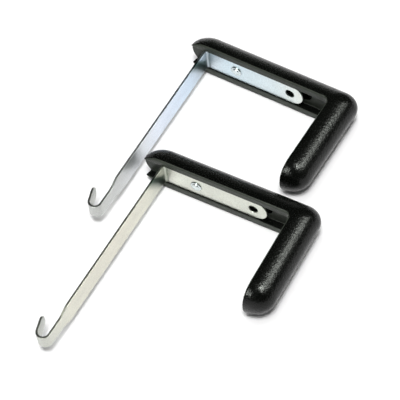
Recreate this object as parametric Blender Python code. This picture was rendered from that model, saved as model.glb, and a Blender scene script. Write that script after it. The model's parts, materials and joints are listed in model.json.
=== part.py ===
"""A pair of adjustable hangers that clip over an office partition to carry a file rack.

Each hanger is a half-round plastic L (an arm over the panel and a leg down one side) and a plated
steel strap that slides in the arm, runs down the other side and ends in a hook for the rack.
Both hangers lie on their sides: +X runs along the arms, the legs point to -Y, +Z is up.
"""
import math

import bmesh
import bpy
from mathutils import Vector

MM = 0.001

# Plastic body: a half-round section swept round an L
BODY_HEIGHT = 21.0 * MM
BODY_DEPTH = 12.3 * MM
EDGE_RADIUS = 1.0 * MM
ARM_LENGTH = 79.9 * MM
LEG_LENGTH = 48.1 * MM
NOSE_LENGTH = 12.5 * MM
NOSE_POWER = 2.1
TOE_LENGTH = 10.5 * MM
TOE_POWER = 2.5
OUTER_CORNER_RADIUS = 7.0 * MM
INNER_CORNER_RADIUS = 2.5 * MM
WALL = 1.8 * MM
GAP = 0.3 * MM

# Track in the arm, which the strap slides along
TRACK_HEIGHT = 13.0 * MM
TRACK_DEPTH = 3.85 * MM
TRACK_END = 1.0 * MM
TRACK_WALL = 1.2 * MM
TRACK_FLOOR = 1.5 * MM
SLOT_WIDTH = 6.6 * MM
SLOT_START = 63.0 * MM
SLOT_END = 11.3 * MM

# Steel strap
STRAP_WIDTH = 12.7 * MM
STRAP_THICKNESS = 1.1 * MM
STRAP_SETBACK = 0.85 * MM
STRAP_FOLD = 68.1 * MM
STRAP_ARM = 55.4 * MM
FOLD_RADIUS = 1.2 * MM
TAPER_START = 85.4 * MM
TAPER_END = 90.8 * MM
HOOK_WIDTH = 8.1 * MM
HOOK_RADIUS = 3.05 * MM
HOOK_CENTRE = 100.3 * MM
HOOK_RETURN = 8.9 * MM
HOOK_FLARE = math.radians(16)
HOOK_TIP_RADIUS = 3.2 * MM

# Rivet stack that clamps the strap to the track floor
RIVET_FROM_FOLD = 18.0 * MM
RIVET_SHANK = 3.0 * MM
RIVET_HEAD = 6.2 * MM
RIVET_BORE = RIVET_SHANK + 2 * GAP
LOCK_HOLE_FROM_FOLD = 48.2 * MM
LOCK_HOLE = 4.8 * MM
BUSH_FLANGE = 10.0 * MM
BUSH_COLLAR = SLOT_WIDTH - 2 * GAP
WASHER_DIAMETER = 10.0 * MM
WASHER_THICKNESS = 0.8 * MM
WAVE_RISE = 0.3 * MM

# Screws that hold the track frame to the cover, in the leg
SCREW_PLACES = (14.0 * MM, 35.0 * MM)
SCREW_CORE = 2.3 * MM
SCREW_LENGTH = 7.0 * MM
SCREW_HEAD = 5.0 * MM
SCREW_HEAD_HEIGHT = 1.6 * MM
BOSS_DIAMETER = 6.4 * MM
PAD_DIAMETER = 8.4 * MM
PAD_DEPTH = 3.6 * MM

SECTION_STEPS = 26
CAP_STEPS = 11
CORNER_STEPS = 9
ROUND_STEPS = 36
CLEAR = 100 * MM

# Where each hanger lies, how far its strap is drawn out, and how its fold is splayed
HANGERS = {
    "front": {"place": (0.0, 0.0), "turn": 0.0, "drawn": 0.0, "splay": math.radians(0.9)},
    "rear": {
        "place": (-13.3 * MM, 67.5 * MM),
        "turn": math.radians(-2.65),
        "drawn": 2.0 * MM,
        "splay": math.radians(-1.9),
    },
}

MATERIALS = {
    "black_plastic": ((0.012, 0.012, 0.012), 0.38, 0.0),
    "black_nylon": ((0.02, 0.02, 0.02), 0.5, 0.0),
    "white_acetal": ((0.75, 0.74, 0.7), 0.45, 0.0),
    "zinc_steel": ((0.62, 0.63, 0.62), 0.34, 1.0),
    "rivet_steel": ((0.7, 0.7, 0.69), 0.28, 1.0),
    "screw_steel": ((0.35, 0.35, 0.36), 0.4, 1.0),
}


def clear_scene():
    for item in list(bpy.data.objects):
        bpy.data.objects.remove(item, do_unlink=True)


def make_material(name):
    colour, roughness, metallic = MATERIALS[name]
    material = bpy.data.materials.new(name)
    material.use_nodes = True
    shader = material.node_tree.nodes["Principled BSDF"]
    shader.inputs["Base Color"].default_value = (*colour, 1.0)
    shader.inputs["Roughness"].default_value = roughness
    shader.inputs["Metallic"].default_value = metallic
    material.diffuse_color = (*colour, 1.0)
    return material


def add_object(name, bm, parent=None, material=None):
    """Close, orient and store a bmesh as an object."""
    bmesh.ops.remove_doubles(bm, verts=bm.verts, dist=0.00001)
    bmesh.ops.dissolve_degenerate(bm, edges=bm.edges, dist=0.00001)
    bmesh.ops.recalc_face_normals(bm, faces=bm.faces)
    mesh = bpy.data.meshes.new(name)
    bm.to_mesh(mesh)
    bm.free()
    item = bpy.data.objects.new(name, mesh)
    bpy.context.scene.collection.objects.link(item)
    item.parent = parent
    if material:
        own = make_material(material)
        own.name = name + "_" + material
        mesh.materials.append(own)
    return item


def combine(target, tool, operation):
    """Apply one exact Boolean and drop the tool."""
    modifier = target.modifiers.new("cut", "BOOLEAN")
    modifier.operation = operation
    modifier.solver = "EXACT"
    modifier.object = tool
    bpy.context.view_layer.update()
    graph = bpy.context.evaluated_depsgraph_get()
    result = bpy.data.meshes.new_from_object(target.evaluated_get(graph))
    target.modifiers.clear()
    target.data = result
    bpy.data.objects.remove(tool, do_unlink=True)


def tidy(item):
    """Merge the slivers left by the Booleans."""
    bm = bmesh.new()
    bm.from_mesh(item.data)
    bmesh.ops.remove_doubles(bm, verts=bm.verts, dist=0.00001)
    bmesh.ops.dissolve_degenerate(bm, edges=bm.edges, dist=0.00001)
    bmesh.ops.holes_fill(bm, edges=[edge for edge in bm.edges if edge.is_boundary])
    bmesh.ops.recalc_face_normals(bm, faces=bm.faces)
    bm.to_mesh(item.data)
    bm.free()


def smooth(item, angle=35):
    for face in item.data.polygons:
        face.use_smooth = True
    item.data.set_sharp_from_angle(angle=math.radians(angle))


def skin_rings(bm, rings, closed_rings=True, closed_loop=False):
    """Join rings of points with quads; a ring may be one point."""
    verts = [[bm.verts.new(point) for point in ring] for ring in rings]
    pairs = list(zip(verts, verts[1:]))
    if closed_loop:
        pairs.append((verts[-1], verts[0]))
    for one, two in pairs:
        count = max(len(one), len(two))
        steps = count if closed_rings else count - 1
        for i in range(steps):
            j = (i + 1) % count
            corners = [one[i % len(one)], one[j % len(one)], two[j % len(two)], two[i % len(two)]]
            unique = [v for k, v in enumerate(corners) if v not in corners[:k]]
            if len(unique) > 2:
                bm.faces.new(unique)
    return verts


def box(name, low, high):
    bm = bmesh.new()
    bmesh.ops.create_cube(bm, size=1.0)
    for v in bm.verts:
        v.co = Vector(low[i] + (high[i] - low[i]) * (v.co[i] + 0.5) for i in range(3))
    return add_object(name, bm)


def rounded_bar(name, start, end, height, radius, low_y, high_y):
    """A bar along X with rounded ends in the XZ plane, between two depths."""
    outline = []
    quarter = max(4, ROUND_STEPS // 4)
    for cx, cz, first in (
        (end - radius, height / 2 - radius, 90),
        (end - radius, radius - height / 2, 0),
        (start + radius, radius - height / 2, -90),
        (start + radius, height / 2 - radius, -180),
    ):
        for k in range(quarter + 1):
            a = math.radians(first - 90 * k / quarter)
            outline.append((cx + radius * math.cos(a), cz + radius * math.sin(a)))
    bm = bmesh.new()
    rings = [[(x, y, z) for x, z in outline] for y in (low_y, high_y)]
    verts = skin_rings(bm, rings)
    for ring in verts:
        bm.faces.new(ring)
    return add_object(name, bm)


def turned(name, profile, axis, centre, parent=None, material=None, hollow=False):
    """A turned piece: the profile is (radius, distance along the axis)."""
    bm = bmesh.new()
    rings = []
    for radius, along in profile:
        if radius < 1e-7:
            steps = 1
        else:
            steps = ROUND_STEPS
        ring = []
        for k in range(steps):
            a = 2 * math.pi * k / ROUND_STEPS
            u, v = radius * math.cos(a), radius * math.sin(a)
            ring.append((u, along, v) if axis == "Y" else (along, u, v))
        rings.append(ring)
    skin_rings(bm, rings, closed_loop=hollow)
    bmesh.ops.translate(bm, verts=bm.verts, vec=Vector(centre))
    return add_object(name, bm, parent, material)


def half_round(depth, half_height, edge):
    """Half-round section as (depth, height) points, from the lower edge of the flat to the upper."""
    first = math.asin(edge / depth)
    points = []
    for k in range(5):
        a = math.radians(180 + 90 * k / 4)
        points.append((edge + edge * math.cos(a), edge - half_height + edge * math.sin(a)))
    for k in range(1, SECTION_STEPS):
        a = first + (math.pi - 2 * first) * k / SECTION_STEPS
        points.append((depth * math.sin(a), -half_height * math.cos(a)))
    for k in range(5):
        a = math.radians(90 + 90 * k / 4)
        points.append((edge + edge * math.cos(a), half_height - edge + edge * math.sin(a)))
    return points


def half_round_l(name, inset, parent=None):
    """The L-shaped half-round solid, shrunk by an inset on its round side and its ends."""
    depth = BODY_DEPTH - inset
    half_height = BODY_HEIGHT / 2 - inset
    outer = OUTER_CORNER_RADIUS - inset
    inner = INNER_CORNER_RADIUS
    section = half_round(depth, half_height, EDGE_RADIUS)
    nose = NOSE_LENGTH - inset
    toe = TOE_LENGTH - inset
    nose_base = NOSE_LENGTH - ARM_LENGTH
    toe_base = TOE_LENGTH - LEG_LENGTH
    angles = [math.pi / 2 * k / CAP_STEPS for k in range(CAP_STEPS + 1)]
    power = 2 / NOSE_POWER
    rings = [[(nose_base - nose, 0.0, 0.0)]]
    for a in reversed(angles[:-1]):
        x, scale = nose_base - nose * math.sin(a) ** power, math.cos(a) ** power
        rings.append([(x, d * scale, h * scale) for d, h in section])
    for k in range(CORNER_STEPS + 1):
        a = math.pi / 2 * k / CORNER_STEPS
        near = Vector((inner * (math.sin(a) - 1), inner * (math.cos(a) - 1)))
        far = Vector((depth - outer + outer * math.sin(a), depth - outer + outer * math.cos(a)))
        ring = []
        for d, h in section:
            spot = near.lerp(far, d / depth)
            ring.append((spot.x, spot.y, h))
        rings.append(ring)
    power = 2 / TOE_POWER
    for a in angles[:-1]:
        y, scale = toe_base - toe * math.sin(a) ** power, math.cos(a) ** power
        rings.append([(d * scale, y, h * scale) for d, h in section])
    rings.append([(0.0, toe_base - toe, 0.0)])
    bm = bmesh.new()
    skin_rings(bm, rings)
    return add_object(name, bm, parent)


def rod(name, diameter, low_x, high_x, y):
    """A plain rod along X through the leg, used for bosses and bores."""
    radius = diameter / 2
    return turned(
        name, ((0, low_x), (radius, low_x), (radius, high_x), (0, high_x)), "X", (0, y, 0)
    )


def make_track_frame(name, parent):
    """Flat inner face of the L with the track, its slotted floor and the screw pads."""
    face = WALL
    back = TRACK_DEPTH + TRACK_FLOOR
    rim = TRACK_HEIGHT / 2 + TRACK_WALL
    frame = half_round_l(name, 0.0)
    plate = box("plate", (-CLEAR, -CLEAR, -CLEAR), (face, face, CLEAR))
    block = box("block", (-CLEAR, 0, -rim), (-GAP, back, rim))
    combine(plate, block, "UNION")
    combine(frame, plate, "INTERSECT")
    for y in SCREW_PLACES:
        combine(frame, rod("pad", PAD_DIAMETER, face / 2, PAD_DEPTH, -y), "UNION")
    track = rounded_bar(
        "track", -CLEAR, -TRACK_END, TRACK_HEIGHT, 2 * MM, -CLEAR, TRACK_DEPTH
    )
    combine(frame, track, "DIFFERENCE")
    slot = rounded_bar(
        "slot", -SLOT_START, -SLOT_END, SLOT_WIDTH, SLOT_WIDTH * 0.45, 0.5 * TRACK_DEPTH, 2 * back
    )
    combine(frame, slot, "DIFFERENCE")
    head_seat = GAP + SCREW_HEAD_HEIGHT + GAP
    for y in SCREW_PLACES:
        combine(frame, rod("seat", SCREW_HEAD + 2 * GAP, -1 * MM, head_seat, -y), "DIFFERENCE")
        combine(frame, rod("bore", SCREW_CORE + 2 * GAP, 0, 2 * PAD_DEPTH, -y), "DIFFERENCE")
    finish(frame, parent, "black_plastic")
    return frame


def make_cover(name, parent):
    """Hollow half-round back of the L, open where the track frame closes it."""
    face = WALL + GAP
    back = TRACK_DEPTH + TRACK_FLOOR + GAP
    rim = TRACK_HEIGHT / 2 + TRACK_WALL + GAP
    cover = half_round_l(name, 0.0)
    mouth = box("mouth", (-CLEAR, -CLEAR, -CLEAR), (face, face, CLEAR))
    combine(cover, mouth, "DIFFERENCE")
    combine(cover, half_round_l("cavity", WALL), "DIFFERENCE")
    block = box("block", (-CLEAR, 0, -rim), (face, back, rim))
    combine(cover, block, "DIFFERENCE")
    for y in SCREW_PLACES:
        boss = rod("boss", BOSS_DIAMETER, PAD_DEPTH + GAP, BODY_DEPTH - WALL / 2, -y)
        combine(cover, boss, "UNION")
        bore_end = GAP + SCREW_HEAD_HEIGHT + SCREW_LENGTH + GAP
        bore = rod("bore", SCREW_CORE + 2 * GAP, 0, bore_end, -y)
        combine(cover, bore, "DIFFERENCE")
    finish(cover, parent, "black_plastic")
    return cover


def finish(item, parent, material):
    tidy(item)
    item.parent = parent
    own = make_material(material)
    own.name = item.name + "_" + material
    item.data.materials.clear()
    item.data.materials.append(own)
    for face in item.data.polygons:
        face.material_index = 0
    smooth(item)


def strap_stations(splay):
    """Middle line of the strap as (x, y, heading, half width), from the arm tip to the hook tip."""
    half = STRAP_WIDTH / 2
    mid = STRAP_THICKNESS / 2
    bend = FOLD_RADIUS + mid
    line_y = STRAP_SETBACK + mid
    tip = STRAP_ARM
    stations = []
    for k in range(10):
        a = math.pi / 2 * k / 9
        stations.append((tip - half * (1 - math.cos(a)), line_y, math.pi, half * math.sin(a)))
    turn = math.pi / 2 - splay
    centre = Vector((STRAP_THICKNESS + FOLD_RADIUS, STRAP_SETBACK - FOLD_RADIUS))
    for k in range(9):
        a = math.pi / 2 + turn * k / 8
        stations.append(
            (centre.x + bend * math.cos(a), centre.y + bend * math.sin(a), a + math.pi / 2, half)
        )
    heading = stations[-1][2]
    start = Vector(stations[-1][:2])
    along = Vector((math.cos(heading), math.sin(heading)))

    def down(distance, width):
        spot = start + along * (distance + start.y)
        stations.append((spot.x, spot.y, heading, width))

    narrow = HOOK_WIDTH / 2
    for distance, width in (
        (TAPER_START - 1.0 * MM, half),
        (TAPER_START, half - 0.15 * MM),
        (TAPER_START + 1.0 * MM, half - 0.5 * MM),
        (TAPER_END - 1.0 * MM, narrow + 0.5 * MM),
        (TAPER_END, narrow + 0.15 * MM),
        (TAPER_END + 1.0 * MM, narrow),
        (HOOK_CENTRE, narrow),
    ):
        down(distance, width)
    side = Vector((along.y, -along.x))
    middle = Vector(stations[-1][:2]) + side * HOOK_RADIUS
    sweep = math.pi - HOOK_FLARE
    for k in range(1, 17):
        a = heading - sweep * k / 16
        out = Vector((math.cos(a + math.pi / 2), math.sin(a + math.pi / 2))) * HOOK_RADIUS
        stations.append((middle.x + out.x, middle.y + out.y, a, narrow))
    heading = stations[-1][2]
    start = Vector(stations[-1][:2])
    along = Vector((math.cos(heading), math.sin(heading)))
    flat = narrow - HOOK_TIP_RADIUS
    for k in range(7):
        a = math.pi / 2 * k / 6
        reach = HOOK_RETURN - HOOK_TIP_RADIUS * (1 - math.sin(a))
        width = flat + HOOK_TIP_RADIUS * math.cos(a)
        spot = start + along * reach
        stations.append((spot.x, spot.y, heading, width))
    return stations


def make_strap(name, parent, splay):
    """Bent steel strip with a rivet hole and a lock hole."""
    bm = bmesh.new()
    mid = STRAP_THICKNESS / 2
    rings = []
    for x, y, heading, width in strap_stations(splay):
        nx, ny = -math.sin(heading) * mid, math.cos(heading) * mid
        rings.append([
            (x + nx, y + ny, width),
            (x - nx, y - ny, width),
            (x - nx, y - ny, -width),
            (x + nx, y + ny, -width),
        ])
    verts = skin_rings(bm, rings)
    bm.faces.new(verts[-1])
    bm.faces.new(verts[0])
    strap = add_object(name, bm)
    for diameter, x in ((RIVET_BORE, RIVET_FROM_FOLD), (LOCK_HOLE, LOCK_HOLE_FROM_FOLD)):
        radius = diameter / 2
        low, high = STRAP_SETBACK - 2 * MM, STRAP_SETBACK + STRAP_THICKNESS + 2 * MM
        cutter = turned(
            "hole", ((0, low), (radius, low), (radius, high), (0, high)), "Y", (x, 0, 0)
        )
        combine(strap, cutter, "DIFFERENCE")
    finish(strap, parent, "zinc_steel")
    smooth(strap, 30)
    return strap


def make_rivet_stack(prefix, parent):
    """Rivet, glide bush, flat washer and wave washer, all about one axis along Y."""
    centre = (RIVET_FROM_FOLD, 0, 0)
    shank = RIVET_SHANK / 2
    head = RIVET_HEAD / 2
    bore = RIVET_BORE / 2
    strap_front = STRAP_SETBACK
    strap_back = STRAP_SETBACK + STRAP_THICKNESS
    floor_back = TRACK_DEPTH + TRACK_FLOOR

    bush_front = strap_back + GAP
    bush_back = TRACK_DEPTH - GAP
    flange, collar = BUSH_FLANGE / 2, BUSH_COLLAR / 2
    bush = turned(
        prefix + "_glide_bush",
        (
            (bore, bush_front), (flange, bush_front), (flange, bush_back),
            (collar, bush_back), (collar, floor_back), (bore, floor_back),
        ),
        "Y", centre, parent, "white_acetal", hollow=True,
    )

    washer_front = floor_back + GAP
    washer_back = washer_front + WASHER_THICKNESS
    rim = WASHER_DIAMETER / 2
    washer = turned(
        prefix + "_flat_washer",
        ((bore, washer_front), (rim, washer_front), (rim, washer_back), (bore, washer_back)),
        "Y", centre, parent, "zinc_steel", hollow=True,
    )

    wave_middle = washer_back + GAP + WAVE_RISE + 0.2 * MM
    wave_rim = rim - 1.0 * MM
    bm = bmesh.new()
    rings = []
    for k in range(ROUND_STEPS):
        a = 2 * math.pi * k / ROUND_STEPS
        y = wave_middle + WAVE_RISE * math.cos(3 * a)
        rings.append([
            (centre[0] + r * math.cos(a), y + side * 0.2 * MM, r * math.sin(a))
            for r, side in ((bore, -1), (wave_rim, -1), (wave_rim, 1), (bore, 1))
        ])
    skin_rings(bm, rings, closed_loop=True)
    wave = add_object(prefix + "_wave_washer", bm, parent, "rivet_steel")

    tail_front = wave_middle + WAVE_RISE + 0.2 * MM + GAP
    dome = (
        (0, strap_front - GAP - 0.75 * MM),
        (head * 0.45, strap_front - GAP - 0.68 * MM),
        (head * 0.8, strap_front - GAP - 0.45 * MM),
        (head, strap_front - GAP - 0.15 * MM),
        (head, strap_front - GAP),
    )
    tail = (
        (shank, tail_front),
        (head * 0.85, tail_front),
        (head * 0.85, tail_front + 0.5 * MM),
        (head * 0.5, tail_front + 0.9 * MM),
        (0, tail_front + 1.0 * MM),
    )
    profile = dome + ((shank, strap_front - GAP),) + tail
    rivet = turned(prefix + "_rivet", profile, "Y", centre, parent, "rivet_steel")
    for item in (bush, washer, wave, rivet):
        smooth(item)


def make_screws(prefix, parent):
    """The case screws of one leg, countersunk in the track frame and sharing one mesh."""
    head, core = SCREW_HEAD / 2, SCREW_CORE / 2
    under = GAP + SCREW_HEAD_HEIGHT
    recess = 1.1 * MM
    profile = (
        (0, GAP + 0.7 * MM),
        (recess, GAP + 0.7 * MM),
        (recess, GAP),
        (head, GAP),
        (head, GAP + 0.5 * MM),
        (core, under),
        (core, under + SCREW_LENGTH - 1.2 * MM),
        (0, under + SCREW_LENGTH),
    )
    first = turned(prefix + "_case_screw_1", profile, "X", (0, 0, 0))
    finish(first, parent, "screw_steel")
    first.location.y = -SCREW_PLACES[0]
    second = bpy.data.objects.new(prefix + "_case_screw_2", first.data)
    bpy.context.scene.collection.objects.link(second)
    second.parent = parent
    second.location.y = -SCREW_PLACES[1]


def make_empty(name, parent=None, place=(0.0, 0.0, 0.0), turn=0.0):
    item = bpy.data.objects.new(name, None)
    item.empty_display_size = 0.01
    item.location = place
    item.rotation_euler = (0.0, 0.0, turn)
    item.parent = parent
    bpy.context.scene.collection.objects.link(item)
    return item


def set_bounds():
    """World bounds of every solid in the set."""
    bpy.context.view_layer.update()
    corners = [
        item.matrix_world @ v.co
        for item in bpy.context.scene.objects
        if item.type == "MESH"
        for v in item.data.vertices
    ]
    low = Vector(min(c[i] for c in corners) for i in range(3))
    high = Vector(max(c[i] for c in corners) for i in range(3))
    return low, high


def main():
    clear_scene()
    root = make_empty("hanger_set")
    for prefix, spot in HANGERS.items():
        x, y = spot["place"]
        hanger = make_empty(prefix + "_hanger", root, (x, y, BODY_HEIGHT / 2), spot["turn"])
        slide_place = (-STRAP_FOLD - spot["drawn"], 0.0, 0.0)
        slide = make_empty(prefix + "_strap_slide", hanger, slide_place)
        make_cover(prefix + "_cover", hanger)
        make_track_frame(prefix + "_track_frame", hanger)
        make_screws(prefix, hanger)
        make_strap(prefix + "_strap", slide, spot["splay"])
        make_rivet_stack(prefix, slide)
    low, high = set_bounds()
    middle = (low + high) / 2
    root.location = (-middle.x, -middle.y, -low.z)
    bpy.context.view_layer.update()


if __name__ == "__main__":
    main()
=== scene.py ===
"""Looks of a pair of partition hangers: half-round black plastic Ls with sliding plated steel straps.

Each hanger is built in its own frame, in millimetres: x = 0 and y = 0 are the flat inner faces of the
leg and the arm, z = 0 is mid height, the arm runs to -x and the leg to -y. The frames come from the
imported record's mounts. Straps are punched as flat blanks and bent, so their brushed grain follows.
"""
import json
import math

import bmesh
import bpy
from mathutils import Matrix, Vector
from mathutils.geometry import delaunay_2d_cdt


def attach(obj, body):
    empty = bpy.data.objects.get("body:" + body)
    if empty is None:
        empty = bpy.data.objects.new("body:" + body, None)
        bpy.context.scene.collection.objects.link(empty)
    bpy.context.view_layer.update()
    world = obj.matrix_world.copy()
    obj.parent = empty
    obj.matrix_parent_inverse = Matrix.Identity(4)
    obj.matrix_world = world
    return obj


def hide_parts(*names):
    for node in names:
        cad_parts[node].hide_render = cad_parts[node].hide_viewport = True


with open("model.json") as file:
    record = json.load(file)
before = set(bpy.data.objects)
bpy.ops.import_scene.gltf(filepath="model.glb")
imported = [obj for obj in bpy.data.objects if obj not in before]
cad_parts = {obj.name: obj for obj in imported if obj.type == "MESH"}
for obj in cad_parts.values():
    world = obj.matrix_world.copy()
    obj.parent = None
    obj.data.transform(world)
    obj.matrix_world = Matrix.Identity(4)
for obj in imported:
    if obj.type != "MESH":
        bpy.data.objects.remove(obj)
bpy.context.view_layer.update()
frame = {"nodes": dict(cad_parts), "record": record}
RECORD = frame["record"]
MM = 0.001

# Plastic body
BODY_HEIGHT, BODY_DEPTH, EDGE_RADIUS = 21.0, 12.3, 1.0
ARM_LENGTH, LEG_LENGTH = 79.9, 48.1
NOSE_LENGTH, NOSE_POWER = 12.5, 2.1
TOE_LENGTH, TOE_POWER = 10.5, 2.5
OUTER_CORNER, INNER_CORNER = 7.0, 2.5
WALL, SEAM = 1.8, 0.06
TRACK_HEIGHT, TRACK_DEPTH, TRACK_END = 13.0, 3.85, 1.0
TRACK_WALL, TRACK_FLOOR = 1.2, 1.5
SLOT_WIDTH, SLOT_START, SLOT_END = 6.6, 63.0, 11.3
SCREW_PLACES = (14.0, 35.0)
SCREW_HEAD, SCREW_HEIGHT, SCREW_CORE, SCREW_LENGTH = 5.0, 1.6, 2.3, 7.0
BOSS, PAD, PAD_DEPTH = 6.4, 8.4, 3.6
LIP_ROUND, FLOOR_FILLET, SLOT_ROUND = 0.35, 0.5, 0.25

# Steel strap
STRAP_WIDTH, STRAP_THICKNESS, STRAP_SETBACK = 12.7, 1.1, 0.85
STRAP_ARM, FOLD_RADIUS = 55.4, 1.2
TAPER_START, TAPER_END, HOOK_WIDTH = 85.4, 90.8, 8.1
HOOK_RADIUS, HOOK_CENTRE, HOOK_RETURN = 3.05, 100.3, 8.9
HOOK_FLARE, HOOK_TIP_RADIUS = math.radians(16), 3.2
STRAP_EDGE, HOLE_EDGE = 0.16, 0.3
RIVET_FROM_FOLD, RIVET_BORE, RIVET_HEAD, RIVET_SHANK = 18.0, 3.6, 6.2, 3.0
LOCK_HOLE_FROM_FOLD, LOCK_HOLE = 48.2, 4.8
WASHER_THICKNESS, WAVE_RISE, GAP = 0.8, 0.3, 0.3
STRAP_HALF, HOOK_HALF, STRAP_MID = STRAP_WIDTH / 2, HOOK_WIDTH / 2, STRAP_THICKNESS / 2
BEND_RADIUS = FOLD_RADIUS + STRAP_MID
STRAP_FLAT = STRAP_ARM - STRAP_THICKNESS - FOLD_RADIUS
STRAP_HOLES = (
    (STRAP_ARM - RIVET_FROM_FOLD, RIVET_BORE), (STRAP_ARM - LOCK_HOLE_FROM_FOLD, LOCK_HOLE),
)

# How far the record's grip mounts are below the arm's flat face
LEG_GRIP, STRAP_GRIP = 24.5, 30
FAR = 99  # past the end of every piece


# ---------------------------------------------------------------- places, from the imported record
def mount(name):
    """Place, in millimetres, and direction of a mount of the record."""
    found = next(m for m in RECORD["mounts"] if m["name"] == name)
    return Vector(found["pos_m"]) / MM, Vector(found["axis"]).normalized()


def hanger_frame(prefix):
    """Matrix from the hanger's own millimetres to millimetres in the row frame."""
    spot, axis = mount(prefix + "_leg_grip")
    x_axis = -axis
    z_axis = Vector((0, 0, 1))
    y_axis = z_axis.cross(x_axis)
    origin = spot + y_axis * LEG_GRIP
    return Matrix.Translation(origin) @ Matrix((x_axis, y_axis, z_axis)).transposed().to_4x4()


def strap_frame(prefix):
    """Matrix of the strap's own frame, whose origin is the outer face of its fold, and its splay."""
    hanger = hanger_frame(prefix)
    spot, axis = mount(prefix + "_strap_grip")
    inverse = hanger.inverted()
    local = inverse @ spot
    normal = inverse.to_3x3() @ axis
    splay = math.atan2(-normal.y, normal.x)
    down = Vector((-math.sin(splay), -math.cos(splay), 0))
    face = Vector((STRAP_THICKNESS + FOLD_RADIUS, STRAP_SETBACK - FOLD_RADIUS, 0))
    foot = face - Vector((math.cos(splay), -math.sin(splay), 0)) * FOLD_RADIUS
    origin = local - (foot + down * (STRAP_GRIP + foot.y))
    return hanger @ Matrix.Translation((origin.x, 0, 0)), splay


# ---------------------------------------------------------------- mesh helpers
def new_object(name, bm, smooth=35, weighted=True):
    """Object made from a bmesh, shaded smooth below the given angle; an angle of 0 leaves it flat."""
    mesh = bpy.data.meshes.new(name)
    bm.to_mesh(mesh)
    bm.free()
    item = bpy.data.objects.new(name, mesh)
    bpy.context.scene.collection.objects.link(item)
    if smooth:
        shade(item, smooth, weighted)
    return item


def shade(item, angle=35, weighted=True):
    """Smooth shading with sharp edges past an angle, and normals weighted by face area."""
    for face in item.data.polygons:
        face.use_smooth = True
    item.data.set_sharp_from_angle(angle=math.radians(angle))
    if weighted:
        modifier = item.modifiers.new("normals", "WEIGHTED_NORMAL")
        modifier.keep_sharp = True
        modifier.weight = 80


def skin(bm, rings, closed_loop=False, closed_ring=True):
    """Quads between rings of points; a ring may be one point."""
    verts = [[bm.verts.new(p) for p in ring] for ring in rings]
    pairs = list(zip(verts, verts[1:]))
    if closed_loop:
        pairs.append((verts[-1], verts[0]))
    for one, two in pairs:
        count = max(len(one), len(two))
        for i in range(count if closed_ring else count - 1):
            j = (i + 1) % count
            corners = [one[i % len(one)], one[j % len(one)], two[j % len(two)], two[i % len(two)]]
            unique = [v for k, v in enumerate(corners) if v not in corners[:k]]
            if len(unique) > 2:
                bm.faces.new(unique)
    return verts


def close(bm):
    """Join the points of touching rings and turn the faces outwards."""
    bmesh.ops.remove_doubles(bm, verts=bm.verts, dist=0.0005)
    bmesh.ops.recalc_face_normals(bm, faces=bm.faces)


def combine(target, tool, operation):
    """Boolean of the target with a tool, which is used up."""
    modifier = target.modifiers.new("cut", "BOOLEAN")
    modifier.operation = operation
    modifier.solver = "EXACT"
    modifier.object = tool
    bpy.context.view_layer.update()
    graph = bpy.context.evaluated_depsgraph_get()
    result = bpy.data.meshes.new_from_object(target.evaluated_get(graph))
    target.modifiers.clear()
    target.data = result
    bpy.data.objects.remove(tool, do_unlink=True)


def box(low, high):
    """Box between two corners."""
    bm = bmesh.new()
    bmesh.ops.create_cube(bm, size=1.0)
    for v in bm.verts:
        v.co = Vector(low[i] + (high[i] - low[i]) * (v.co[i] + 0.5) for i in range(3))
    return new_object("tool", bm, 0)


def turned(profile, axis, centre, steps=72, name="tool", loop=False, smooth=0):
    """A turned piece: the profile is (radius, distance along the axis)."""
    bm = bmesh.new()
    rings = []
    for radius, along in profile:
        ring = []
        for k in range(steps if radius > 1e-6 else 1):
            a = 2 * math.pi * k / steps
            u, v = radius * math.cos(a), radius * math.sin(a)
            ring.append((u, along, v) if axis == "Y" else (along, u, v))
        rings.append(ring)
    skin(bm, rings, closed_loop=loop)
    bmesh.ops.translate(bm, verts=bm.verts, vec=Vector(centre))
    close(bm)
    return new_object(name, bm, smooth)


def arc(count, first, last):
    """Angles, in radians, from first to last degree in equal steps."""
    return [math.radians(first + (last - first) * k / count) for k in range(count + 1)]


def bar_cutter(start, end, height, radius, profile):
    """A bar along X with rounded ends; the profile is (y, growth of its outline)."""
    bm = bmesh.new()
    rings = []
    for y, grow in profile:
        r = radius + grow
        ring = []
        for cx, cz, first in (
            (end - radius, height / 2 - radius, 90),
            (end - radius, radius - height / 2, 0),
            (start + radius, radius - height / 2, -90),
            (start + radius, height / 2 - radius, -180),
        ):
            for a in arc(12, first, first - 90):
                ring.append((cx + r * math.cos(a), y, cz + r * math.sin(a)))
        rings.append(ring)
    verts = skin(bm, rings)
    bm.faces.new(verts[0])
    bm.faces.new(verts[-1])
    close(bm)
    return new_object("tool", bm, 0)


# ---------------------------------------------------------------- plastic body
def section(depth, half_height, edge, steps=64):
    """Half-round section as (depth, height), with both flat-face edges rounded."""
    first = math.asin(edge / depth)
    points = []
    for a in arc(8, 180, 270):
        points.append((edge + edge * math.cos(a), edge - half_height + edge * math.sin(a)))
    for k in range(1, steps):
        a = first + (math.pi - 2 * first) * k / steps
        points.append((depth * math.sin(a), -half_height * math.cos(a)))
    for a in arc(8, 90, 180):
        points.append((edge + edge * math.cos(a), half_height - edge + edge * math.sin(a)))
    return points


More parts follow.
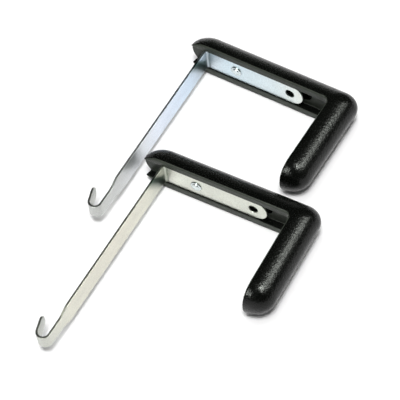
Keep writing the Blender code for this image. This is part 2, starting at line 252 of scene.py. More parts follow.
def half_round_l(inset):
    """The L-shaped half-round solid, shrunk by an inset on its round side and its ends."""
    depth, half_height = BODY_DEPTH - inset, BODY_HEIGHT / 2 - inset
    outer, inner = OUTER_CORNER - inset, INNER_CORNER
    outline = section(depth, half_height, EDGE_RADIUS)
    nose, toe = NOSE_LENGTH - inset, TOE_LENGTH - inset
    nose_base, toe_base = NOSE_LENGTH - ARM_LENGTH, TOE_LENGTH - LEG_LENGTH
    angles = arc(30, 0, 90)[:-1]
    rings = [[(nose_base - nose, 0.0, 0.0)]]
    power = 2 / NOSE_POWER
    for a in reversed(angles):
        x, scale = nose_base - nose * math.sin(a) ** power, math.cos(a) ** power
        rings.append([(x, d * scale, h * scale) for d, h in outline])
    for k in range(1, 24):
        x = nose_base * (1 - k / 24)
        if x < -INNER_CORNER - 1:
            rings.append([(x, d, h) for d, h in outline])
    for a in arc(22, 0, 90):
        near = Vector((inner * (math.sin(a) - 1), inner * (math.cos(a) - 1)))
        far = Vector((depth - outer + outer * math.sin(a), depth - outer + outer * math.cos(a)))
        ring = []
        for d, h in outline:
            spot = near.lerp(far, d / depth)
            ring.append((spot.x, spot.y, h))
        rings.append(ring)
    for k in range(1, 14):
        y = toe_base * k / 14
        if y < -INNER_CORNER - 1:
            rings.append([(d, y, h) for d, h in outline])
    power = 2 / TOE_POWER
    for a in angles:
        y, scale = toe_base - toe * math.sin(a) ** power, math.cos(a) ** power
        rings.append([(d * scale, y, h * scale) for d, h in outline])
    rings.append([(0.0, toe_base - toe, 0.0)])
    bm = bmesh.new()
    skin(bm, rings)
    close(bm)
    return new_object("body", bm, 0)


def rod(diameter, low, high, y, chamfer=0.0):
    """Rod along X for the leg's bosses and bores, with an optional chamfer at its mouth."""
    r = diameter / 2
    if chamfer:
        profile = ((0, low), (r + chamfer, low), (r + chamfer, -0.02), (r, chamfer), (r, high), (0, high))
    else:
        profile = ((0, low), (r, low), (r, high), (0, high))
    return turned(profile, "X", (0, y, 0), 48)


def make_track_mesh():
    """Flat inner face of the L with its track, slotted floor and countersunk screw seats."""
    back = TRACK_DEPTH + TRACK_FLOOR
    rim = TRACK_HEIGHT / 2 + TRACK_WALL
    item = half_round_l(0.0)
    plate = box((-FAR, -FAR, -FAR), (WALL, WALL, FAR))
    combine(plate, box((-FAR, 0, -rim), (-GAP, back, rim)), "UNION")
    combine(item, plate, "INTERSECT")
    for y in SCREW_PLACES:
        combine(item, rod(PAD, WALL / 2, PAD_DEPTH, -y), "UNION")
    lip = [(-2.0, LIP_ROUND + 0.3), (-0.02, LIP_ROUND + 0.02)]
    lip += [(LIP_ROUND * (1 - math.cos(a)), LIP_ROUND * (1 - math.sin(a))) for a in arc(6, 12, 90)]
    lip += [
        (TRACK_DEPTH - FLOOR_FILLET * (1 - math.sin(a)), -FLOOR_FILLET * (1 - math.cos(a)))
        for a in arc(6, 0, 90)
    ]
    combine(item, bar_cutter(-FAR, -TRACK_END, TRACK_HEIGHT, 2.0, lip), "DIFFERENCE")
    r = SLOT_ROUND
    mouth = [(TRACK_DEPTH - 1, r + 0.3), (TRACK_DEPTH - 0.02, r + 0.02)]
    mouth += [(TRACK_DEPTH + r * (1 - math.cos(a)), r * (1 - math.sin(a))) for a in arc(4, 15, 90)]
    mouth += [(back + 2, 0.0)]
    combine(item, bar_cutter(-SLOT_START, -SLOT_END, SLOT_WIDTH, SLOT_WIDTH / 2.02, mouth), "DIFFERENCE")
    for y in SCREW_PLACES:
        seat = rod(SCREW_HEAD + 0.6, -1, GAP + SCREW_HEIGHT + GAP, -y, 0.2)
        combine(item, seat, "DIFFERENCE")
        combine(item, rod(SCREW_CORE + 0.6, 0, 2 * PAD_DEPTH, -y), "DIFFERENCE")
    return finish_body(item, True)


def make_cover_mesh():
    """Hollow half-round back of the L, closed by the track frame along a hairline seam."""
    face = WALL + SEAM
    back = TRACK_DEPTH + TRACK_FLOOR + GAP
    rim = TRACK_HEIGHT / 2 + TRACK_WALL + GAP
    item = half_round_l(0.0)
    combine(item, box((-FAR, -FAR, -FAR), (face, face, FAR)), "DIFFERENCE")
    combine(item, half_round_l(WALL), "DIFFERENCE")
    combine(item, box((-FAR, 0, -rim), (face, back, rim)), "DIFFERENCE")
    for y in SCREW_PLACES:
        combine(item, rod(BOSS, PAD_DEPTH + GAP, BODY_DEPTH - WALL / 2, -y), "UNION")
        bore = rod(SCREW_CORE + 0.6, 0, GAP + SCREW_HEIGHT + SCREW_LENGTH + GAP, -y)
        combine(item, bore, "DIFFERENCE")
    return finish_body(item)


def mark_inner_face_painted_light(bm):
    """UV layer whose u is 1 on the flat inner face and the track floor: moulded with a dull finish, and
    painted a lighter grey for the light these inward-facing faces catch.
    """
    layer = bm.loops.layers.uv.new("matte")
    for face in bm.faces:
        centre, normal = face.calc_center_median(), face.normal
        inward = -normal.y if centre.x < 0 else -normal.x
        for loop in face.loops:
            # faces turned inwards get the painted-light grey; the track walls stay black
            loop[layer].uv = (float(inward > 0.45), 0.0)


def finish_body(item, matte=False):
    """Clean up what the Booleans left and return the bare mesh."""
    bm = bmesh.new()
    bm.from_mesh(item.data)
    bmesh.ops.remove_doubles(bm, verts=bm.verts, dist=0.004)
    bmesh.ops.dissolve_degenerate(bm, edges=bm.edges, dist=0.004)
    bmesh.ops.recalc_face_normals(bm, faces=bm.faces)
    if matte:
        mark_inner_face_painted_light(bm)
    bm.to_mesh(item.data)
    bm.free()
    item.data.materials.clear()
    mesh = item.data
    bpy.data.objects.remove(item)
    return mesh


# ---------------------------------------------------------------- strap
def strap_path(splay):
    """Pieces of the strap's middle line: (start distance, length, start point, heading, curvature)."""
    line_y = STRAP_SETBACK + STRAP_MID
    turn = math.pi / 2 - splay
    pieces = [(0.0, STRAP_FLAT, Vector((STRAP_ARM, line_y)), math.pi, 0.0)]
    s = STRAP_FLAT
    fold_start = Vector((STRAP_ARM - STRAP_FLAT, line_y))
    pieces.append((s, BEND_RADIUS * turn, fold_start, math.pi, 1 / BEND_RADIUS))
    s += BEND_RADIUS * turn
    spot, heading = at_path(pieces, s)
    leg = HOOK_CENTRE + spot.y
    pieces.append((s, leg, spot, heading, 0.0))
    leg_zero = s + spot.y
    s += leg
    spot, heading = at_path(pieces, s)
    sweep = math.pi - HOOK_FLARE
    pieces.append((s, HOOK_RADIUS * sweep, spot, heading, -1 / HOOK_RADIUS))
    s += HOOK_RADIUS * sweep
    spot, heading = at_path(pieces, s)
    pieces.append((s, HOOK_RETURN, spot, heading, 0.0))
    return pieces, leg_zero


def at_path(pieces, s):
    """Point and heading at a distance along the path."""
    for start, length, spot, heading, curve in pieces:
        if s <= start + length + 1e-6:
            break
    d = s - start
    if abs(curve) < 1e-9:
        return spot + Vector((math.cos(heading), math.sin(heading))) * d, heading
    end = heading + d * curve
    return spot + Vector(
        (math.sin(end) - math.sin(heading), math.cos(heading) - math.cos(end))
    ) / curve, end


def strap_blank(leg_zero, total):
    """Outline of the flat blank: round inner end, eased taper and round hook tip."""
    side = [(STRAP_HALF * (1 - math.cos(a)), STRAP_HALF * math.sin(a)) for a in arc(24, 0, 90)]
    slope = (STRAP_HALF - HOOK_HALF) / (TAPER_END - TAPER_START)
    ease = 1.3  # half length of each eased shoulder
    for k in range(7):
        t = k / 6
        side.append((
            leg_zero + TAPER_START - ease + 2 * ease * t, STRAP_HALF - slope * ease * t * t,
        ))
    for k in range(7):
        t = k / 6
        side.append((
            leg_zero + TAPER_END - ease + 2 * ease * t, HOOK_HALF + slope * ease * (1 - t) ** 2,
        ))
    flat = HOOK_HALF - HOOK_TIP_RADIUS
    for a in arc(14, 0, 90):
        side.append((
            total - HOOK_TIP_RADIUS * (1 - math.sin(a)), flat + HOOK_TIP_RADIUS * math.cos(a),
        ))
    outline = side + [(s, -w) for s, w in reversed(side[1:])]
    return [p for k, p in enumerate(outline) if (Vector(p) - Vector(outline[k - 1])).length > 0.02]


def rounded_rim(bm, points, sense, edge):
    """Rim with rounded edges round an outline or a hole; returns its loops on the two flat sides."""
    count = len(points)
    area = sum(
        points[k - 1][0] * points[k][1] - points[k][0] * points[k - 1][1] for k in range(count)
    )
    outward = []
    for k in range(count):
        one, two = Vector(points[k - 1]), Vector(points[(k + 1) % count])
        along = (two - one).normalized()
        outward.append(Vector((along.y, -along.x)) * (1 if area > 0 else -1) * sense)
    steps = [
        (edge * (1 - math.cos(a)), STRAP_MID - edge * (1 - math.sin(a))) for a in arc(4, 90, 0)
    ]
    steps += [(inset, -h) for inset, h in reversed(steps)]
    rings = [
        [(p[0] - o.x * inset, p[1] - o.y * inset, h) for p, o in zip(points, outward)]
        for inset, h in steps
    ]
    verts = skin(bm, rings)
    return verts[0], verts[-1]


def in_hole(spot):
    """Whether a point of the blank lies in a hole or on its rounded edge."""
    return any(
        (spot - Vector((place, 0))).length < diameter / 2 + HOLE_EDGE
        for place, diameter in STRAP_HOLES
    )


def fill_flat(bm, rings):
    """Triangles between the outline, which is the first ring, and the holes."""
    points, edges, verts = [], [], []
    for ring in rings:
        first = len(points)
        points += [Vector(v.co.xy) for v in ring]
        verts += ring
        edges += [(first + k, first + (k + 1) % len(ring)) for k in range(len(ring))]
    border = [v.co.xy for v in rings[0]]
    found, _, triangles, origin = delaunay_2d_cdt(points, edges, [], 0, 1e-6)[:4]
    for tri in triangles:
        centre = sum((found[k] for k in tri), Vector((0, 0))) / 3
        if abs(centre.y) >= STRAP_HALF or in_hole(centre) or not in_polygon(centre, border):
            continue
        corners = [verts[origin[k][0]] for k in tri]
        if len(set(corners)) == 3:
            try:
                bm.faces.new(corners)
            except ValueError:
                pass


def cut_rows(bm, pieces, total):
    """Rows of vertices to bend along, with the other long edges of the flat sides dissolved."""
    cuts = []
    for start, length, _, _, curve in pieces:
        if curve:
            count = max(1, int(round(abs(curve) * length / math.radians(5))))
        else:
            count = max(1, int(length / 6))
        cuts += [start + length * k / count for k in range(count + 1)]
    for s in sorted(set(round(c, 5) for c in cuts)):
        if 0.01 < s < total - 0.01:
            bmesh.ops.bisect_plane(
                bm, geom=list(bm.verts) + list(bm.edges) + list(bm.faces), dist=1e-5,
                plane_co=(s, 0, 0), plane_no=(1, 0, 0),
            )
    bmesh.ops.remove_doubles(bm, verts=bm.verts, dist=0.0002)
    bmesh.ops.dissolve_limit(
        bm, angle_limit=math.radians(0.1), verts=[], edges=[
            e for e in bm.edges
            if len(e.link_faces) == 2 and abs(abs(e.verts[0].co.z) - STRAP_MID) < 1e-4
            and abs(e.verts[0].co.z - e.verts[1].co.z) < 1e-5
            and abs(e.verts[0].co.x - e.verts[1].co.x) > 1e-3
            and all(abs(abs(f.normal.z) - 1) < 1e-3 for f in e.link_faces)
        ],
    )


def make_strap(name, splay):
    """Punched blank with rounded edges and two holes, bent along its path."""
    pieces, leg_zero = strap_path(splay)
    total = pieces[-1][0] + pieces[-1][1]
    loops = [(strap_blank(leg_zero, total), 1, STRAP_EDGE)]
    for place, diameter in STRAP_HOLES:
        r = diameter / 2
        ring = [(place + r * math.cos(a), r * math.sin(a)) for a in arc(48, 0, 360)[:-1]]
        loops.append((ring, -1, HOLE_EDGE))

    bm = bmesh.new()
    for rings in zip(*[rounded_rim(bm, *loop) for loop in loops]):
        fill_flat(bm, rings)
    cut_rows(bm, pieces, total)
    layer = bm.loops.layers.uv.new("blank")
    for face in bm.faces:
        for loop in face.loops:
            loop[layer].uv = (loop.vert.co.x * MM, loop.vert.co.y * MM)
    for v in bm.verts:
        # z of the blank becomes the side of the path, and y becomes the height
        spot, heading = at_path(pieces, v.co.x)
        p = spot - Vector((-math.sin(heading), math.cos(heading))) * v.co.z
        v.co = Vector((p.x, p.y, v.co.y))
    bmesh.ops.recalc_face_normals(bm, faces=bm.faces)
    return new_object(name, bm, 32)


def in_polygon(p, ring):
    """Whether a point lies inside a ring of points, by crossings of a ray."""
    inside = False
    for k in range(len(ring)):
        a, b = ring[k - 1], ring[k]
        if (a.y > p.y) != (b.y > p.y):
            if p.x < (b.x - a.x) * (p.y - a.y) / (b.y - a.y) + a.x:
                inside = not inside
    return inside


# ---------------------------------------------------------------- small hardware
def make_rivet(name):
    """Rivet with a ringed low head and a rolled tail."""
    front = STRAP_SETBACK
    floor_back = TRACK_DEPTH + TRACK_FLOOR
    tail = floor_back + GAP + WASHER_THICKNESS + GAP + WAVE_RISE + 0.2 + WAVE_RISE + 0.2 + GAP
    head, shank = RIVET_HEAD / 2, RIVET_SHANK / 2
    seat = front - GAP
    profile = [
        # raised ring round the dished middle, low step, rim and underside of the head
        (0.0, seat - 0.50), (0.7, seat - 0.51), (1.0, seat - 0.58), (1.25, seat - 0.66),
        (1.5, seat - 0.66), (1.72, seat - 0.58), (1.85, seat - 0.42), (1.95, seat - 0.30),
        (2.3, seat - 0.28), (2.6, seat - 0.24), (2.82, seat - 0.12), (2.9, seat + 0.02),
        (2.9, front - 0.1), (2.83, front - 0.02),
        # shank and rolled tail
        (shank + 0.1, front - 0.02), (shank, front + 0.1), (shank, tail - 0.05),
        (shank + 0.15, tail), (head * 0.85, tail + 0.06), (head * 0.9, tail + 0.3),
        (head * 0.8, tail + 0.55), (head * 0.5, tail + 0.7), (head * 0.3, tail + 0.5),
        (0.0, tail + 0.3),
    ]
    return turned(profile, "Y", (RIVET_FROM_FOLD, 0, 0), 64, name, smooth=40)


def make_screw_mesh():
    """Pan-head screw with a cross recess, lying along X with its head towards the leg's flat face."""
    head, core = SCREW_HEAD / 2, SCREW_CORE / 2
    under = GAP + SCREW_HEIGHT
    profile = [(0.0, GAP + 0.02), (0.8, GAP + 0.03), (1.5, GAP + 0.12), (2.05, GAP + 0.32),
               (2.35, GAP + 0.6), (head, GAP + 0.95), (head, under - 0.12), (head - 0.12, under),
               (core + 0.1, under), (core, under + 0.1)]
    pitch = 0.85
    x = under + 0.5
    while x < under + SCREW_LENGTH - 1.4:
        profile += [(core * 0.86, x), (core, x + pitch * 0.45), (core * 0.86, x + pitch * 0.9)]
        x += pitch
    profile += [(core * 0.8, under + SCREW_LENGTH - 1.2), (0.0, under + SCREW_LENGTH)]
    item = turned(profile, "X", (0, 0, 0), 48, "screw")
    for turn in (0, 90):
        bm = bmesh.new()
        rings = []
        for x, length, width in (
            (GAP - 0.5, 1.5, 0.42), (GAP + 0.15, 1.35, 0.38), (GAP + 1.15, 0.35, 0.2),
        ):
            corners = ((-1, -1), (1, -1), (1, 1), (-1, 1))
            rings.append([(x, s * length, t * width) for s, t in corners])
        verts = skin(bm, rings)
        bm.faces.new(verts[0])
        bm.faces.new(verts[-1])
        bmesh.ops.rotate(
            bm, verts=bm.verts, cent=(0, 0, 0), matrix=Matrix.Rotation(math.radians(turn + 20), 3, "X")
        )
        close(bm)
        combine(item, new_object("tool", bm, 0), "DIFFERENCE")
    return finish_body(item)


# ---------------------------------------------------------------- materials
class Nodes:
    """Small helper to wire one Principled material."""

    def __init__(self, name):
        self.material = bpy.data.materials.new(name)
        self.material.use_nodes = True
        self.tree = self.material.node_tree
        self.shader = self.tree.nodes["Principled BSDF"]

    def add(self, kind, values=None):
        """New node; each value is a property of the node or the default of an input."""
        node = self.tree.nodes.new(kind)
        for key, value in (values or {}).items():
            if hasattr(node, key) and key not in node.inputs:
                setattr(node, key, value)
            else:
                node.inputs[key].default_value = value
        return node

    def link(self, source, target):
        self.tree.links.new(source, target)

    def set(self, **values):
        """Uniform values, straight on the shader's sockets."""
        for key, value in values.items():
            self.shader.inputs[key.replace("_", " ")].default_value = value


def ramp(nodes, source, stops):
    """Colour ramp over a source; the stops are (position, colour)."""
    node = nodes.tree.nodes.new("ShaderNodeValToRGB")
    nodes.link(source, node.inputs[0])
    band = node.color_ramp
    while len(band.elements) < len(stops):
        band.elements.new(0.5)
    for element, (spot, colour) in zip(band.elements, stops):
        element.position = spot
        element.color = (*colour, 1.0) if len(colour) == 3 else colour
    return node.outputs[0]


def spread(nodes, source, low, high, start=0.0, end=1.0):
    """Map the source's range from start to end onto low to high, and clamp it."""
    node = nodes.tree.nodes.new("ShaderNodeMapRange")
    nodes.link(source, node.inputs[0])
    for k, value in enumerate((start, end, low, high)):
        node.inputs[k + 1].default_value = value
    return node.outputs[0]


def millimetres(nodes):
    """Object coordinates in millimetres."""
    scale = nodes.add("ShaderNodeMapping", {"Scale": (1000.0, 1000.0, 1000.0)})
    nodes.link(nodes.add("ShaderNodeTexCoord").outputs["Object"], scale.inputs["Vector"])
    return scale.outputs["Vector"]


def plastic():
    """Moulded black plastic: leathery grain, semi-gloss outside, dull and a little greyer inside; the grey
    inside is painted light on the inward-facing faces.
    """
    n = Nodes("black_plastic_grain")
    place = millimetres(n)
    grain = n.add("ShaderNodeTexNoise", {"Scale": 0.85, "Detail": 3.0, "Roughness": 0.6})
    n.link(place, grain.inputs["Vector"])
    cells = n.add("ShaderNodeTexVoronoi", {"Scale": 1.5})
    cells.feature = "SMOOTH_F1"
    n.link(place, cells.inputs["Vector"])
    cloud = n.add("ShaderNodeTexNoise", {"Scale": 0.09, "Detail": 4.0, "Roughness": 0.6})
    n.link(place, cloud.inputs["Vector"])
    marks = n.add("ShaderNodeTexNoise", {"Scale": 0.45, "Detail": 6.0, "Roughness": 0.75, "Distortion": 0.6})
    n.link(place, marks.inputs["Vector"])
    pits = n.add("ShaderNodeTexNoise", {"Scale": 1.5, "Detail": 2.0, "Roughness": 0.7})
    n.link(place, pits.inputs["Vector"])
    inner = n.add("ShaderNodeSeparateXYZ")
    n.link(n.add("ShaderNodeUVMap", {"uv_map": "matte"}).outputs["UV"], inner.inputs[0])
    inner = inner.outputs["X"]
    glossy = ramp(n, cloud.outputs["Fac"], [(0.3, (0.0022, 0.0026, 0.0021)), (0.7, (0.0036, 0.0042, 0.0033))])
    # painted light: the inward-facing flat face and track floor get a lighter grey than the black outside,
    # for the light they catch
    matte = ramp(n, marks.outputs["Fac"], [(0.3, (0.031, 0.038, 0.029)), (0.7, (0.044, 0.052, 0.040))])
    mix = n.tree.nodes.new("ShaderNodeMix")
    mix.data_type = "RGBA"
    n.link(inner, mix.inputs["Factor"])
    n.link(glossy, mix.inputs["A"])
    n.link(matte, mix.inputs["B"])
    n.link(mix.outputs["Result"], n.shader.inputs["Base Color"])
    mixed = n.add("ShaderNodeMath", {"operation": "ADD"})
    n.link(spread(n, cloud.outputs["Fac"], -0.025, 0.03, 0.3, 0.7), mixed.inputs[0])
    n.link(spread(n, pits.outputs["Fac"], 0.29, 0.15, 0.40, 0.60), mixed.inputs[1])
    total = n.add("ShaderNodeMath", {"operation": "ADD"})
    n.link(mixed.outputs[0], total.inputs[0])
    n.link(spread(n, inner, 0.0, 0.14), total.inputs[1])
    n.link(total.outputs[0], n.shader.inputs["Roughness"])
    first = n.add("ShaderNodeBump", {"Strength": 0.5, "Distance": 0.00006})
    n.link(cells.outputs["Distance"], first.inputs["Height"])
    second = n.add("ShaderNodeBump", {"Strength": 0.6, "Distance": 0.00026})
    n.link(grain.outputs["Fac"], second.inputs["Height"])
    n.link(first.outputs["Normal"], second.inputs["Normal"])
    n.link(second.outputs["Normal"], n.shader.inputs["Normal"])
    n.set(Specular_IOR_Level=0.22, IOR=1.5)
    return n.material


def steel(name, tint, rough, brushed=None, tones_and_reflections=None):
    """Zinc-plated steel: long brushed grain, soft clouding and a little handling wear.

    The plating's colour changes along the strap, as (metres from its tip, colour); these stops mix its own
    tint with painted reflection and a painted highlight by the fold. A painted dark reflection lies just past
    the fold, over a longer stretch at the upper edge.
    """
    n = Nodes(name)
    if brushed:
        place = n.add("ShaderNodeUVMap", {"uv_map": brushed}).outputs["UV"]
    else:
        place = n.add("ShaderNodeTexCoord").outputs["Object"]
    scale = 1000.0
    stretch = n.add("ShaderNodeMapping")
    stretch.inputs["Scale"].default_value = (0.05 * scale, 5.0 * scale, 5.0 * scale)
    n.link(place, stretch.inputs["Vector"])
    lines = n.add("ShaderNodeTexNoise", {"Scale": 1.0, "Detail": 5.0, "Roughness": 0.65})
    n.link(stretch.outputs["Vector"], lines.inputs["Vector"])
    wide = n.add("ShaderNodeMapping")
    wide.inputs["Scale"].default_value = (0.08 * scale, 0.16 * scale, 0.16 * scale)
    n.link(place, wide.inputs["Vector"])
    cloud = n.add("ShaderNodeTexNoise", {"Scale": 1.0, "Detail": 4.0, "Roughness": 0.6, "Distortion": 0.4})
    n.link(wide.outputs["Vector"], cloud.inputs["Vector"])
    speck = n.add("ShaderNodeMapping")
    speck.inputs["Scale"].default_value = (1.3 * scale, 1.3 * scale, 1.3 * scale)
    n.link(place, speck.inputs["Vector"])
    spangle = n.add("ShaderNodeTexNoise", {"Scale": 1.0, "Detail": 3.0, "Roughness": 0.7})
    n.link(speck.outputs["Vector"], spangle.inputs["Vector"])
    low = tuple(c * 0.93 for c in tint)
    high = tuple(min(1.0, c * 1.05) for c in tint)
    base = ramp(n, cloud.outputs["Fac"], [(0.3, low), (0.7, high)])
    if tones_and_reflections:
        base = tone_strap_with_painted_reflection(n, place, base, tones_and_reflections)
    streak = ramp(n, lines.outputs["Fac"], [(0.3, (0.90, 0.90, 0.90)), (0.7, (1.0, 1.0, 1.0))])
    fleck = ramp(n, spangle.outputs["Fac"], [(0.36, (0.86, 0.86, 0.86)), (0.58, (1.04, 1.04, 1.04))])
    n.link(multiply(n, multiply(n, base, streak), fleck), n.shader.inputs["Base Color"])
    total = n.add("ShaderNodeMath", {"operation": "ADD"})
    n.link(spread(n, lines.outputs["Fac"], rough - 0.06, rough + 0.06, 0.3, 0.7), total.inputs[0])
    n.link(spread(n, spangle.outputs["Fac"], -0.03, 0.05, 0.3, 0.75), total.inputs[1])
    n.link(total.outputs[0], n.shader.inputs["Roughness"])
    bump = n.add("ShaderNodeBump", {"Strength": 0.1, "Distance": 0.00002})
    n.link(lines.outputs["Fac"], bump.inputs["Height"])
    fine = n.add("ShaderNodeBump", {"Strength": 0.06, "Distance": 0.00003})
    n.link(spangle.outputs["Fac"], fine.inputs["Height"])
    n.link(bump.outputs["Normal"], fine.inputs["Normal"])
    n.link(fine.outputs["Normal"], n.shader.inputs["Normal"])
    n.set(Metallic=1.0)
    return n.material


def multiply(nodes, one, two):
    """Product of two colours."""
    mix = nodes.tree.nodes.new("ShaderNodeMix")
    mix.data_type = "RGBA"
    mix.blend_type = "MULTIPLY"
    mix.inputs["Factor"].default_value = 1.0
    nodes.link(one, mix.inputs["A"])
    nodes.link(two, mix.inputs["B"])
    return mix.outputs["Result"]


def tone_strap_with_painted_reflection(n, place, base, tones_and_reflections):
    """Lay the colour stops along the strap over the base colour, and paint a dark reflection on the stretch
    past the fold.
    """
    across = n.add("ShaderNodeSeparateXYZ")
    n.link(place, across.inputs[0])
    wander = n.add("ShaderNodeTexNoise", {"Scale": 260.0, "Detail": 3.0, "Roughness": 0.6})
    n.link(place, wander.inputs["Vector"])
    along = n.add("ShaderNodeMath", {"operation": "ADD"})
    n.link(across.outputs["X"], along.inputs[0])
    n.link(spread(n, wander.outputs["Fac"], -0.0005, 0.0005, 0.3, 0.7), along.inputs[1])
    length = 0.18
    tone = ramp(n, spread(n, along.outputs[0], 0.0, 1.0, 0.0, length),
                [(u / length, colour) for u, colour in tones_and_reflections])
    # painted dark reflection: from the fold to 60-65 mm at mid width, sloping with the height across the
    # strap
    upper = n.add("ShaderNodeMath", {"operation": "MAXIMUM"})
    n.link(across.outputs["Y"], upper.inputs[0])
    upper.inputs[1].default_value = 0.0
    rise = n.add("ShaderNodeMath", {"operation": "MULTIPLY_ADD"})
    n.link(upper.outputs[0], rise.inputs[0])
    rise.inputs[1].default_value = -1.1
    n.link(across.outputs["X"], rise.inputs[2])
    start = spread(n, rise.outputs[0], 0.0, 1.0, 0.0542, 0.0566)
    slope = n.add("ShaderNodeMath", {"operation": "MULTIPLY_ADD"})
    n.link(across.outputs["Y"], slope.inputs[0])
    slope.inputs[1].default_value = -0.9
    n.link(across.outputs["X"], slope.inputs[2])
    end = spread(n, slope.outputs[0], 1.0, 0.0, 0.0598, 0.0655)
    dark = n.add("ShaderNodeMath", {"operation": "MULTIPLY"})
    n.link(start, dark.inputs[0])
    n.link(end, dark.inputs[1])
    # painted dark reflection just past the fold, teal-black, standing in for what the strap reflects there
    painted_fold_reflection = ramp(n, dark.outputs[0], [(0.0, (1.0, 1.0, 1.0)), (1.0, (0.13, 0.20, 0.17))])
    return multiply(n, multiply(n, base, tone), painted_fold_reflection)


def acetal():
    """Natural acetal, slightly cloudy."""
    n = Nodes("natural_acetal")
    place = n.add("ShaderNodeTexCoord").outputs["Object"]
    cloud = n.add("ShaderNodeTexNoise", {"Scale": 300.0, "Detail": 3.0})
    n.link(place, cloud.inputs["Vector"])
    n.link(ramp(n, cloud.outputs["Fac"], [(0.3, (0.70, 0.69, 0.64)), (0.7, (0.78, 0.77, 0.73))]),
           n.shader.inputs["Base Color"])
    n.link(spread(n, cloud.outputs["Fac"], 0.38, 0.5, 0.3, 0.7), n.shader.inputs["Roughness"])
    bump = n.add("ShaderNodeBump", {"Strength": 0.08, "Distance": 0.00002})
    n.link(cloud.outputs["Fac"], bump.inputs["Height"])
    n.link(bump.outputs["Normal"], n.shader.inputs["Normal"])
    return n.material


# ---------------------------------------------------------------- build
def place_piece(item, matrix, body, material, slot, *nodes):
    """Bake the hanger's place into the mesh, in metres, and hand the piece to its CAD body."""
    item.data = item.data.copy()
    item.data.transform(Matrix.Scale(MM, 4) @ matrix)
    item.data.materials.clear()
    item.data.materials.append(material)
    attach(item, body)
    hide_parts(*nodes)


PLASTIC = plastic()
# Colour stops along each strap: the plating's own tint together with painted reflection; the bright stops at
# 48-52 mm are a painted highlight by the fold and the dark stops at 53-56 mm a painted dark reflection in the
# bend
STRAP_STEEL = {
    "front": steel("zinc_plated_strip", (0.98, 0.98, 0.98), 0.33, "blank", [
        (0.000, (0.69, 0.71, 0.64)), (0.042, (0.68, 0.69, 0.63)), (0.048, (0.80, 0.81, 0.74)),
        (0.0522, (0.88, 0.88, 0.81)), (0.0532, (0.42, 0.44, 0.38)),
        (0.0560, (0.50, 0.52, 0.46)), (0.070, (0.67, 0.66, 0.58)),
        (0.100, (0.69, 0.67, 0.59)), (0.140, (0.69, 0.68, 0.60)), (0.172, (0.53, 0.55, 0.52)),
    ]),
    "rear": steel("blue_zinc_plated_strip", (0.98, 0.98, 0.98), 0.33, "blank", [
        (0.000, (0.80, 0.83, 0.79)), (0.016, (0.69, 0.77, 0.80)), (0.042, (0.64, 0.74, 0.80)),
        (0.0522, (0.78, 0.86, 0.93)), (0.0532, (0.40, 0.45, 0.49)),
        (0.0560, (0.48, 0.54, 0.59)), (0.072, (0.60, 0.70, 0.82)),
        (0.100, (0.71, 0.76, 0.85)), (0.120, (0.72, 0.74, 0.77)), (0.142, (0.59, 0.60, 0.60)),
        (0.172, (0.52, 0.53, 0.50)),
    ]),
}
RIVET_STEEL = steel("plated_rivet", (0.66, 0.72, 0.73), 0.24)
SCREW_STEEL = steel("dark_zinc_screw", (0.36, 0.36, 0.37), 0.36)
WASHER_STEEL = steel("plated_washer", (0.66, 0.66, 0.65), 0.34)
ACETAL = acetal()

track_mesh = make_track_mesh()
cover_mesh = make_cover_mesh()
screw_mesh = make_screw_mesh()

for prefix in ("front", "rear"):
    hanger = hanger_frame(prefix)
    slide, splay = strap_frame(prefix)
    body, unit = prefix + "_hanger", prefix + "_strap_unit"
    for part, mesh, node in (("shell", cover_mesh, "cover"), ("track", track_mesh, "track_frame")):
        item = bpy.data.objects.new(f"{prefix}_{part}", mesh)
        bpy.context.scene.collection.objects.link(item)
        shade(item, 35)
        place_piece(item, hanger, body, PLASTIC, "body_plastic", f"{prefix}_{node}")
    for k, y in enumerate(SCREW_PLACES):
        item = bpy.data.objects.new(f"{prefix}_screw_{k + 1}", screw_mesh)
        bpy.context.scene.collection.objects.link(item)
        shade(item, 30)
        turn = Matrix.Rotation(math.radians(35 + 70 * k), 4, "X")
        place_piece(item, hanger @ Matrix.Translation((0, -y, 0)) @ turn, body, SCREW_STEEL,
                    "screw_steel", f"{prefix}_case_screw_{k + 1}")
    strap = make_strap(prefix + "_bent_strap", splay)
    place_piece(strap, slide, unit, STRAP_STEEL[prefix], "zinc_steel", prefix + "_strap")
    rivet = make_rivet(prefix + "_rivet_head")
    place_piece(rivet, slide, unit, RIVET_STEEL, "rivet_steel", prefix + "_rivet")
    for node, material, slot_name in (
        ("glide_bush", ACETAL, "acetal"),
        ("flat_washer", WASHER_STEEL, "zinc_steel"),
        ("wave_washer", RIVET_STEEL, "rivet_steel"),
    ):
        item = frame["nodes"][f"{prefix}_{node}"]
        item.data.materials.clear()
        item.data.materials.append(material)
        weld = item.modifiers.new("weld", "WELD")
        weld.merge_threshold = 0.00001
        bevel = item.modifiers.new("edges", "BEVEL")
        bevel.width = 0.00012
        bevel.segments = 2
        bevel.limit_method = "ANGLE"
        bevel.angle_limit = math.radians(40)

# ---------------------------------------------------------------- floor, camera and light
floor_mesh = bmesh.new()
bmesh.ops.create_grid(floor_mesh, x_segments=4, y_segments=4, size=3.0)
floor = new_object("floor", floor_mesh, 0)
floor.location.z = -0.00002
paper = Nodes("white_paper")
paper_noise = paper.add("ShaderNodeTexNoise", {"Scale": 900.0, "Detail": 2.0})
paper.link(ramp(paper, paper_noise.outputs["Fac"], [(0.3, (0.93, 0.93, 0.93)), (0.7, (0.95, 0.95, 0.95))]),
           paper.shader.inputs["Base Color"])
paper.set(Roughness=0.9, Specular_IOR_Level=0.1)
floor.data.materials.append(paper.material)

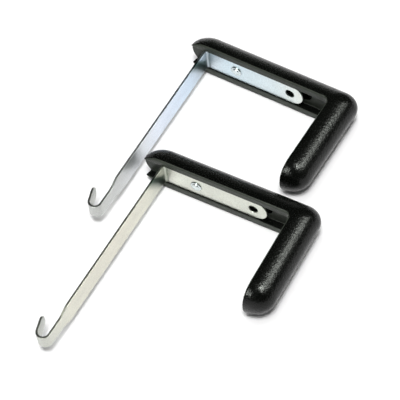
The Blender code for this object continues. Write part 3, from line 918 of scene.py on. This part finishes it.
azimuth, elevation, roll = (math.radians(v) for v in (33.747, 55.233, -6.490))
level = math.cos(elevation)
back = Vector((math.sin(azimuth) * level, -math.cos(azimuth) * level, math.sin(elevation)))
right = Vector((math.cos(azimuth), math.sin(azimuth), 0))
up = back.cross(right)
right, up = (
    math.cos(roll) * right + math.sin(roll) * up, math.cos(roll) * up - math.sin(roll) * right
)
lens = bpy.data.cameras.new("camera")
camera = bpy.data.objects.new("camera", lens)
bpy.context.scene.collection.objects.link(camera)
lens.sensor_width = 36.0
lens.lens = 140.276
lens.clip_start, lens.clip_end = 0.05, 20.0
spot = hanger_frame("front") @ Vector((186.600, -351.507, 599.774))
camera.matrix_world = Matrix.Translation(spot * MM) @ Matrix((right, up, back)).transposed().to_4x4()
bpy.context.scene.camera = camera

scene = bpy.context.scene
scene.view_settings.view_transform = "Standard"
scene.view_settings.look = "None"
world = bpy.data.worlds.new("studio")
scene.world = world
world.use_nodes = True
world.node_tree.nodes["Background"].inputs[0].default_value = (0.012, 0.012, 0.013, 1.0)
world.node_tree.nodes["Background"].inputs[1].default_value = 1.0


def direction(theta, azimuth_deg):
    """Unit vector towards a light: degrees from the zenith, and round it from +X."""
    t, a = math.radians(theta), math.radians(azimuth_deg)
    return Vector((math.sin(t) * math.cos(a), math.sin(t) * math.sin(a), math.cos(t)))


def softbox(name, towards, distance, width, height, radiance):
    """Softbox facing the set, its width along X and its height along Y; radiance is what a mirror shows."""
    data = bpy.data.lights.new(name, "AREA")
    data.shape = "RECTANGLE"
    data.size, data.size_y = width, height
    data.energy = radiance * math.pi * width * height
    data.color = (0.95, 1.0, 0.93)
    item = bpy.data.objects.new(name, data)
    bpy.context.scene.collection.objects.link(item)
    side = (Vector((1, 0, 0)) - towards * towards.x).normalized()
    axes = Matrix((side, towards.cross(side), towards)).transposed()
    item.matrix_world = Matrix.Translation(towards * distance) @ axes.to_4x4()
    return item


def top_light(name, towards, angle, radiance):
    """Broad light from above that whitens the floor; it is kept out of reflections."""
    data = bpy.data.lights.new(name, "SUN")
    data.angle = math.radians(angle)
    data.energy = radiance * math.pi / 0.94
    item = bpy.data.objects.new(name, data)
    bpy.context.scene.collection.objects.link(item)
    item.rotation_euler = towards.to_track_quat("Z", "Y").to_euler()
    item.visible_glossy = False
    return item


# strip lights and a card that show in the plastic, and the broad light that whitens the floor
for box_light in (
    softbox("key_box", direction(50.5, 34), 1.2, 0.24, 0.34, 19.5),
    softbox("toe_box", direction(36, 14), 1.2, 0.16, 0.18, 108.0),
    softbox("key_wing", direction(60, 34), 1.3, 0.40, 0.36, 0.8),
    softbox("edge_box", direction(24, 219), 1.2, 0.10, 0.10, 6.0),
    softbox("side_strip", direction(48, 266), 1.1, 0.17, 0.66, 30.0),
    softbox("back_card", direction(88, 112), 1.6, 1.0, 0.8, 0.45),
):
    box_light.visible_diffuse = False
top_light("top_light", direction(15, -58), 18, 0.80)
top_light("wide_light", direction(10, 150), 30, 0.20)
top_light("fill_light", direction(0, 0), 140, 0.17)
